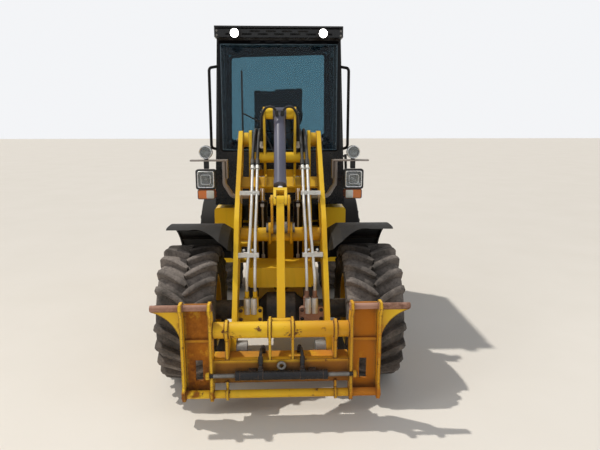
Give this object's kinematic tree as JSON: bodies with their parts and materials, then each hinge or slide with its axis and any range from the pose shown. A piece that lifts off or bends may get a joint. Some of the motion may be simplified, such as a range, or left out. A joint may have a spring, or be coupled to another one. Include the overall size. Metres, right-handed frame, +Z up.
{
  "type": "compact wheel loader",
  "caption": "Compact articulated wheel loader with a cab, lift arms, tilt linkage and a tool hitch with no tool.",
  "frame": {"origin": "centre of the bounding box's bottom face, on the ground", "axes": "+Z up; the machine faces -Y, its own left side is +X"},
  "size_m": [1.49, 3.242, 2.3499],
  "materials": {
    "yellow_paint": "satin",
    "worn_yellow": "worn",
    "frame_paint": "satin",
    "rim_paint": "satin",
    "axle_paint": "satin",
    "black_paint": "satin",
    "cab_black": "gloss",
    "black_plastic": "matte",
    "black_rubber": "matte",
    "tyre_rubber": "dusty",
    "engine_iron": "matte",
    "pin_steel": "satin",
    "pipe_zinc": "satin",
    "dark_cylinder": "satin",
    "blue_grey_cylinder": "satin",
    "chrome_rod": "polished",
    "cab_glass": "clear",
    "seat_fabric": "woven",
    "lamp_white": "gloss",
    "lamp_red": "gloss",
    "lamp_amber": "gloss"
  },
  "bodies": {
    "rear_frame": {"rear_chassis": "frame_paint", "joint_pins": "pin_steel", "counterweight": "yellow_paint", "engine_block": "engine_iron", "rear_axle": "axle_paint", "rear_fenders": "black_paint", "side_tanks": "yellow_paint", "cab_steps": "black_paint", "tail_lamps": "lamp_red", "cab_mounts": "black_rubber", "cab_frame": "cab_black", "cab_roof": "cab_black", "roof_visor": "cab_black", "roof_lamps": "lamp_white", "windshield": "cab_glass", "rear_window": "cab_glass", "side_windows": "cab_glass", "grab_rails": "black_paint", "wiper": "black_plastic", "seat_base": "black_plastic", "seat_cushion": "seat_fabric", "seat_back": "seat_fabric", "console": "black_plastic", "steering_wheel": "black_plastic"},
    "cab_door": {"cab_door": "cab_black", "door_glass": "cab_glass"},
    "engine_hood": {"engine_hood": "yellow_paint"},
    "front_frame": {"front_chassis": "yellow_paint", "boom_pins": "pin_steel", "front_axle": "axle_paint", "front_fenders": "black_paint", "lamp_brackets": "black_paint", "headlamps": "lamp_white", "work_lamps": "lamp_white", "indicators": "lamp_amber"},
    "boom": {"boom": "yellow_paint", "service_pipes": "pipe_zinc", "pipe_blocks": "worn_yellow"},
    "lift_barrels": {"lift_barrels": "dark_cylinder"},
    "lift_rods": {"lift_rods": "chrome_rod"},
    "tilt_barrel": {"tilt_barrel": "blue_grey_cylinder"},
    "tilt_rod": {"tilt_rod": "chrome_rod", "link_pin": "pin_steel"},
    "lever_pin": {"lever_pin": "pin_steel"},
    "lever": {"lever": "worn_yellow"},
    "tilt_link": {"tilt_link": "yellow_paint"},
    "hitch_pins": {"hitch_pins": "pin_steel"},
    "quick_hitch": {"quick_hitch": "worn_yellow", "lock_cylinder": "dark_cylinder"},
    "steer_barrel": {"steer_barrel": "dark_cylinder"},
    "steer_rod": {"steer_rod": "chrome_rod"},
    "front_left_wheel": {"front_left_tyre": "tyre_rubber", "front_left_rim": "rim_paint"},
    "front_right_wheel": {"front_right_tyre": "tyre_rubber", "front_right_rim": "rim_paint"},
    "rear_left_wheel": {"rear_left_tyre": "tyre_rubber", "rear_left_rim": "rim_paint"},
    "rear_right_wheel": {"rear_right_tyre": "tyre_rubber", "rear_right_rim": "rim_paint"}
  },
  "joints": [
    {"name": "articulation", "type": "hinge", "parent": "rear_frame", "child": "front_frame", "pos_m": [0, -0.0835, 0.58], "axis": [0, 0, 1], "range_deg": [-38, 38]},
    {"name": "door_hinge", "type": "hinge", "parent": "rear_frame", "child": "cab_door", "pos_m": [0.548, 0.7595, 1.6], "axis": [0, 0, 1], "range_deg": [0, 100]},
    {"name": "hood_hinge", "type": "hinge", "parent": "rear_frame", "child": "engine_hood", "pos_m": [0, 1.0635, 1.462], "axis": [1, 0, 0], "range_deg": [0, 60]},
    {"name": "front_left_spin", "type": "hinge", "parent": "front_frame", "child": "front_left_wheel", "pos_m": [0.5675, -0.9585, 0.43], "axis": [1, 0, 0], "continuous": true},
    {"name": "front_right_spin", "type": "hinge", "parent": "front_frame", "child": "front_right_wheel", "pos_m": [-0.5675, -0.9585, 0.43], "axis": [1, 0, 0], "continuous": true},
    {"name": "rear_left_spin", "type": "hinge", "parent": "rear_frame", "child": "rear_left_wheel", "pos_m": [0.5675, 0.7915, 0.43], "axis": [1, 0, 0], "continuous": true},
    {"name": "rear_right_spin", "type": "hinge", "parent": "rear_frame", "child": "rear_right_wheel", "pos_m": [-0.5675, 0.7915, 0.43], "axis": [1, 0, 0], "continuous": true},
    {"name": "steer_base_turn", "type": "hinge", "parent": "rear_frame", "child": "steer_barrel", "pos_m": [-0.275, 0.3765, 0.58], "axis": [0, 0, 1], "range_deg": [-5.5, 5.5]},
    {"name": "steer_stroke", "type": "slide", "parent": "steer_barrel", "child": "steer_rod", "axis": [0.2073, -0.9783, 0], "range_m": [-0.112, 0.112]},
    {"name": "boom_lift", "type": "hinge", "parent": "front_frame", "child": "boom", "pos_m": [0, -0.4585, 1.52], "axis": [-1, 0, 0], "range_deg": [-4, 70]},
    {"name": "lift_base_turn", "type": "hinge", "parent": "front_frame", "child": "lift_barrels", "pos_m": [0, -0.5385, 0.62], "axis": [-1, 0, 0], "range_deg": [-7, 0.5]},
    {"name": "lift_stroke", "type": "slide", "parent": "lift_barrels", "child": "lift_rods", "axis": [0, -0.1137, 0.9935], "range_m": [-0.021, 0.345]},
    {"name": "hitch_level", "type": "hinge", "parent": "boom", "child": "hitch_pins", "pos_m": [0, -1.3885, 0.345], "axis": [-1, 0, 0], "range_deg": [-70.5, 4.5]},
    {"name": "hitch_tilt", "type": "hinge", "parent": "hitch_pins", "child": "quick_hitch", "pos_m": [0, -1.3885, 0.345], "axis": [-1, 0, 0], "range_deg": [-38, 8]},
    {"name": "lever_level", "type": "hinge", "parent": "boom", "child": "lever_pin", "pos_m": [0, -0.9785, 0.985], "axis": [-1, 0, 0], "range_deg": [-70.5, 4.5]},
    {"name": "lever_turn", "type": "hinge", "parent": "lever_pin", "child": "lever", "pos_m": [0, -0.9785, 0.985], "axis": [-1, 0, 0], "range_deg": [-38.5, 8.5]},
    {"name": "tilt_base_turn", "type": "hinge", "parent": "front_frame", "child": "tilt_barrel", "pos_m": [0, -0.5075, 1.704], "axis": [-1, 0, 0], "range_deg": [-4.5, 70.5]},
    {"name": "tilt_stroke", "type": "slide", "parent": "tilt_barrel", "child": "tilt_rod", "axis": [0, -0.697, -0.7171], "range_m": [-0.026, 0.118]},
    {"name": "link_turn", "type": "hinge", "parent": "tilt_rod", "child": "tilt_link", "pos_m": [0, -1.0275, 1.169], "axis": [-1, 0, 0], "range_deg": [-0.8, 3]}
  ],
  "couplings": [
    {"joint": "steer_base_turn", "follows": "articulation", "ratio": 0.1396},
    {"joint": "steer_stroke", "follows": "articulation", "m_per_rad": 0.16585},
    {"joint": "lift_base_turn", "follows": "boom_lift", "ratio": -0.09838},
    {"joint": "lift_stroke", "follows": "boom_lift", "m_per_rad": 0.28132},
    {"joint": "hitch_level", "follows": "boom_lift", "ratio": -1},
    {"joint": "lever_level", "follows": "boom_lift", "ratio": -1},
    {"joint": "lever_turn", "follows": "hitch_tilt", "ratio": 1},
    {"joint": "link_turn", "follows": "hitch_tilt", "ratio": -0.07},
    {"joint": "tilt_base_turn", "follows": "boom_lift", "ratio": 1},
    {"joint": "tilt_stroke", "follows": "hitch_tilt", "m_per_rad": -0.174}
  ]
}
